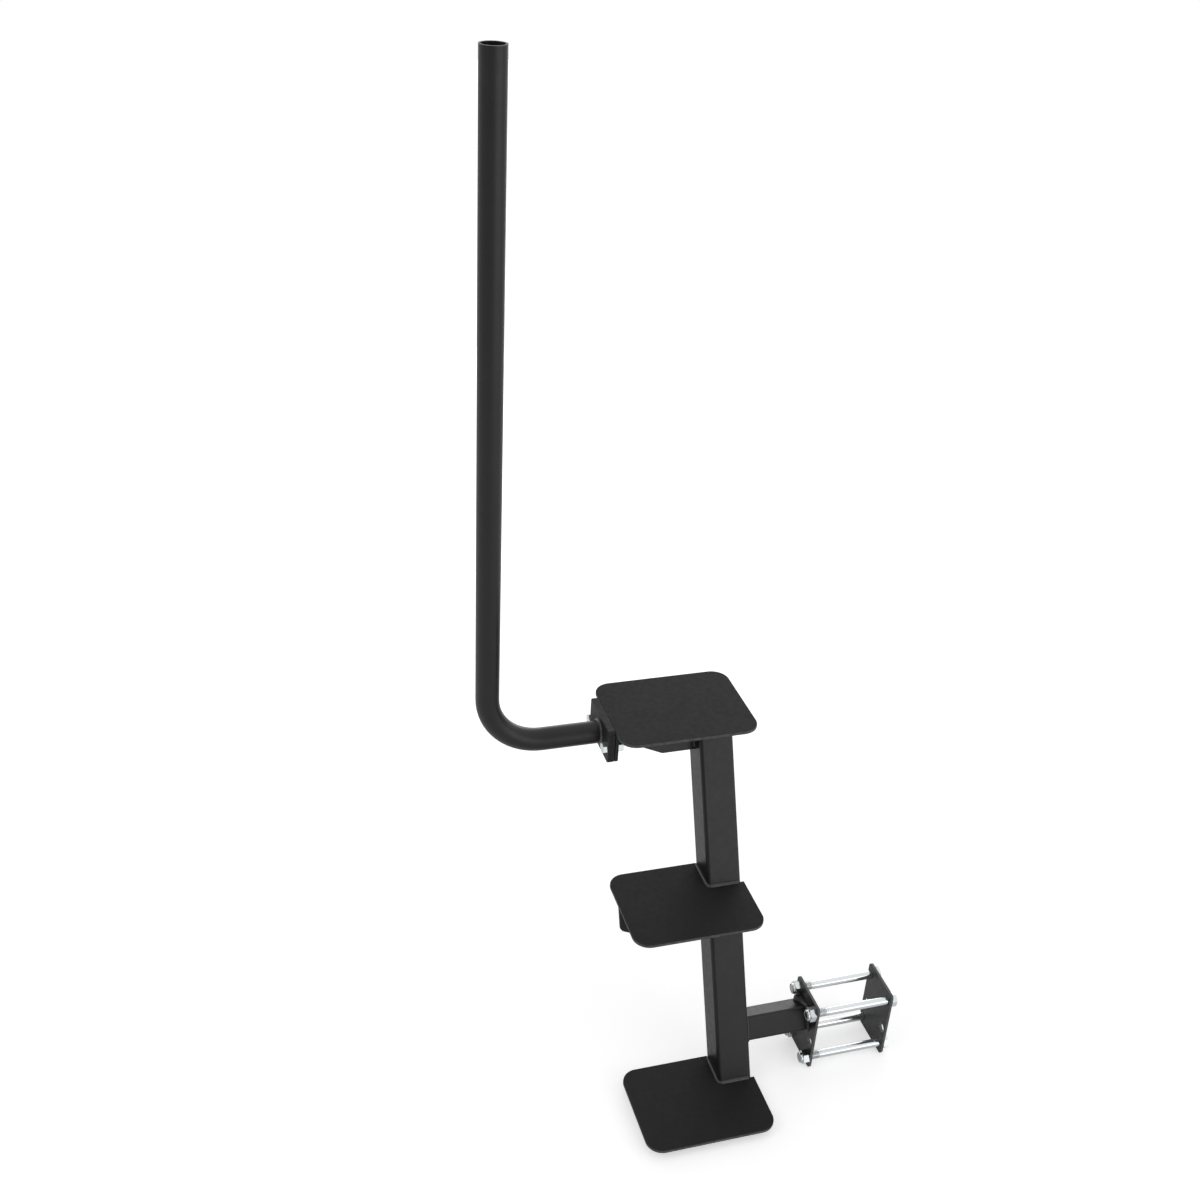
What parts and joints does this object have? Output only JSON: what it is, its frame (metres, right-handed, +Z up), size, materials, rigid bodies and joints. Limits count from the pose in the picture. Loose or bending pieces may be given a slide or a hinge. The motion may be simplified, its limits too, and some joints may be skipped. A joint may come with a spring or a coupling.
{
  "type": "trailer ladder",
  "caption": "Black steel boat trailer ladder: leaning square post with flat steps, tall bent hand pole and a bolted clamp for the frame rail.",
  "frame": {"origin": "middle of the fixed clamp plate's bearing face, where the trailer's frame rail seats", "axes": "+X along the clamp bolts from the fixed plate to the outer plate, +Y along the frame rail towards the side the post leans to, +Z up"},
  "size_m": [0.6033, 0.3821, 1.4224],
  "materials": {
    "black_powder_coat": "satin black powder coat on steel",
    "zinc_plating": "bright zinc plating on steel"
  },
  "bodies": {
    "ladder": {"post": "black_powder_coat", "lower_step": "black_powder_coat", "middle_step": "black_powder_coat", "top_step": "black_powder_coat", "middle_step_gusset": "black_powder_coat", "top_step_gusset": "black_powder_coat", "step_flange": "black_powder_coat", "handle_flange": "black_powder_coat", "hand_pole": "black_powder_coat", "clamp_arm": "black_powder_coat", "clamp_fixed_plate": "black_powder_coat", "flange_bolt_front": "zinc_plating", "flange_nut_front": "zinc_plating", "flange_bolt_back": "zinc_plating", "flange_nut_back": "zinc_plating", "clamp_nut_upper_front": "zinc_plating", "clamp_nut_upper_back": "zinc_plating", "clamp_nut_lower_front": "zinc_plating", "clamp_nut_lower_back": "zinc_plating"},
    "clamp_jaw": {"clamp_outer_plate": "black_powder_coat", "clamp_bolt_upper_front": "zinc_plating", "clamp_bolt_upper_back": "zinc_plating", "clamp_bolt_lower_front": "zinc_plating", "clamp_bolt_lower_back": "zinc_plating"}
  },
  "joints": [
    {"name": "clamp_close", "type": "slide", "parent": "ladder", "child": "clamp_jaw", "axis": [-1, 0, 0], "range_m": [0, 0.018]}
  ]
}
